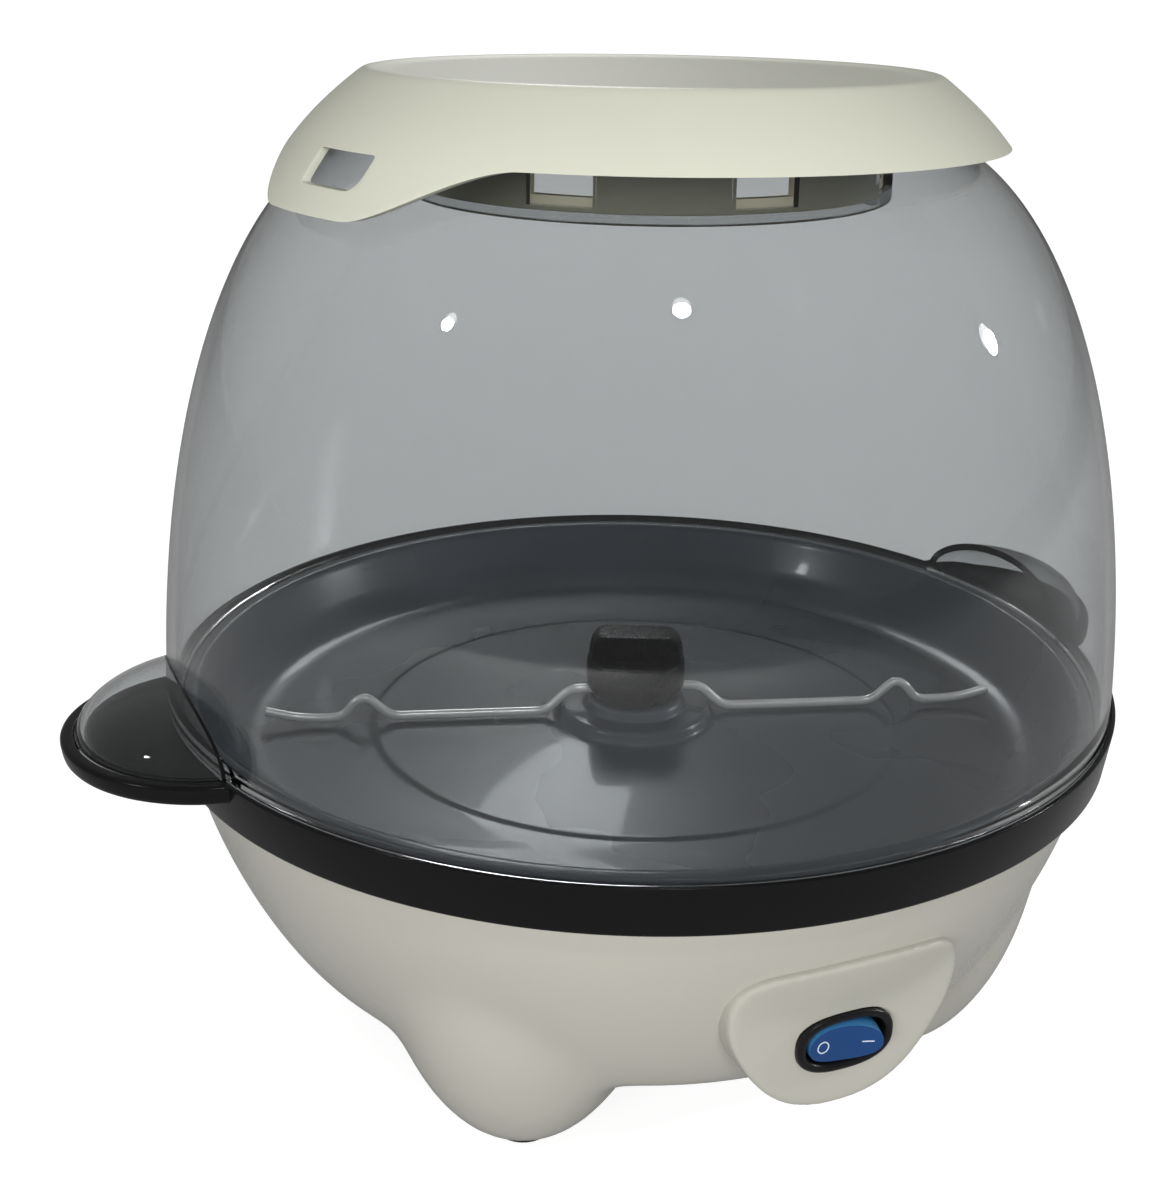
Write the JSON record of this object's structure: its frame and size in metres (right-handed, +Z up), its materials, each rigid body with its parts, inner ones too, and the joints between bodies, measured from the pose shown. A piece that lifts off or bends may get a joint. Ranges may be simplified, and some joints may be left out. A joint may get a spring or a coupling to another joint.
{
  "type": "stirring popcorn maker",
  "caption": "Stirring popcorn maker with a heated non-stick pan, a motor-turned stirring wire, a clear dome, an ivory cap and base, a black ring and a blue rocker switch.",
  "frame": {"origin": "on the table under the centre of the base", "axes": "+Z up, the switch panel faces -Y, the two ears lie along +X and -X"},
  "size_m": [0.314, 0.26, 0.263],
  "materials": {
    "ivory": "satin",
    "ivory_gloss": "gloss",
    "clear": "clear gloss",
    "black_gloss": "gloss",
    "nonstick": "non-stick satin",
    "red_rubber": "silicone",
    "black_satin": "satin",
    "wire_chrome": "polished",
    "steel": "zinc plated",
    "brass": "satin",
    "white_plastic": "moulded",
    "iron": "laminated",
    "copper": "enamelled wire",
    "zinc": "galvanised",
    "element_steel": "heat stained",
    "brown_plastic": "phenolic",
    "aluminium": "mill",
    "blue": "translucent gloss",
    "cream_ceramic": "satin",
    "lead_red": "silicone sleeve",
    "rubber": "matt"
  },
  "bodies": {
    "base": {"rim_ring": "black_gloss", "pan": "nonstick", "pan_gasket": "red_rubber", "shaft_bush": "brass", "middle_pin": "steel", "motor_coil": "copper", "motor_can": "zinc", "motor_plate": "zinc", "motor_screws": "steel", "heating_element": "element_steel", "element_pins": "steel", "element_clips": "steel", "thermostat": "brown_plastic", "thermal_fuse": "brass", "heat_shield": "aluminium", "shield_spacers": "steel", "clamp_screws": "steel", "base_body": "ivory_gloss", "bottom_cover": "ivory_gloss", "cover_screws": "steel", "switch_panel": "ivory", "switch_bezel": "black_satin", "switch_housing": "black_satin", "switch_terminals": "brass", "cord_gland": "black_satin", "terminal_block": "cream_ceramic", "inner_leads": "lead_red", "foot_1": "rubber", "foot_2": "rubber", "foot_3": "rubber", "foot_4": "rubber"},
    "dome": {"dome": "clear"},
    "cap": {"cap": "ivory"},
    "shaft": {"drive_shaft": "steel", "output_wheel": "white_plastic"},
    "stirrer": {"stirring_wire": "wire_chrome", "stir_knob": "black_satin"},
    "middle_gear": {"middle_gear": "white_plastic"},
    "rotor": {"motor_rotor": "iron"},
    "rocker": {"switch_rocker": "blue"}
  },
  "joints": [
    {"name": "dome_lift", "type": "slide", "parent": "base", "child": "dome", "axis": [0, 0, 1], "range_m": [0, 0.06]},
    {"name": "cap_lift", "type": "slide", "parent": "dome", "child": "cap", "axis": [0, 0, 1], "range_m": [0, 0.03]},
    {"name": "shaft_turn", "type": "hinge", "parent": "base", "child": "shaft", "pos_m": [0, 0, 0.09], "axis": [0, 0, 1], "continuous": true},
    {"name": "stirrer_lift", "type": "slide", "parent": "shaft", "child": "stirrer", "axis": [0, 0, 1], "range_m": [0, 0.02]},
    {"name": "middle_gear_turn", "type": "hinge", "parent": "base", "child": "middle_gear", "pos_m": [0.0125, 0, 0.056], "axis": [0, 0, 1], "continuous": true},
    {"name": "rotor_turn", "type": "hinge", "parent": "base", "child": "rotor", "pos_m": [0, 0, 0.05], "axis": [0, 0, 1], "continuous": true},
    {"name": "rocker_tilt", "type": "hinge", "parent": "base", "child": "rocker", "pos_m": [0, -0.1135, 0.0522], "axis": [0, 0, 1], "range_deg": [0, 18]}
  ],
  "couplings": [
    {"joint": "middle_gear_turn", "follows": "shaft_turn", "ratio": -4},
    {"joint": "rotor_turn", "follows": "shaft_turn", "ratio": 16}
  ]
}
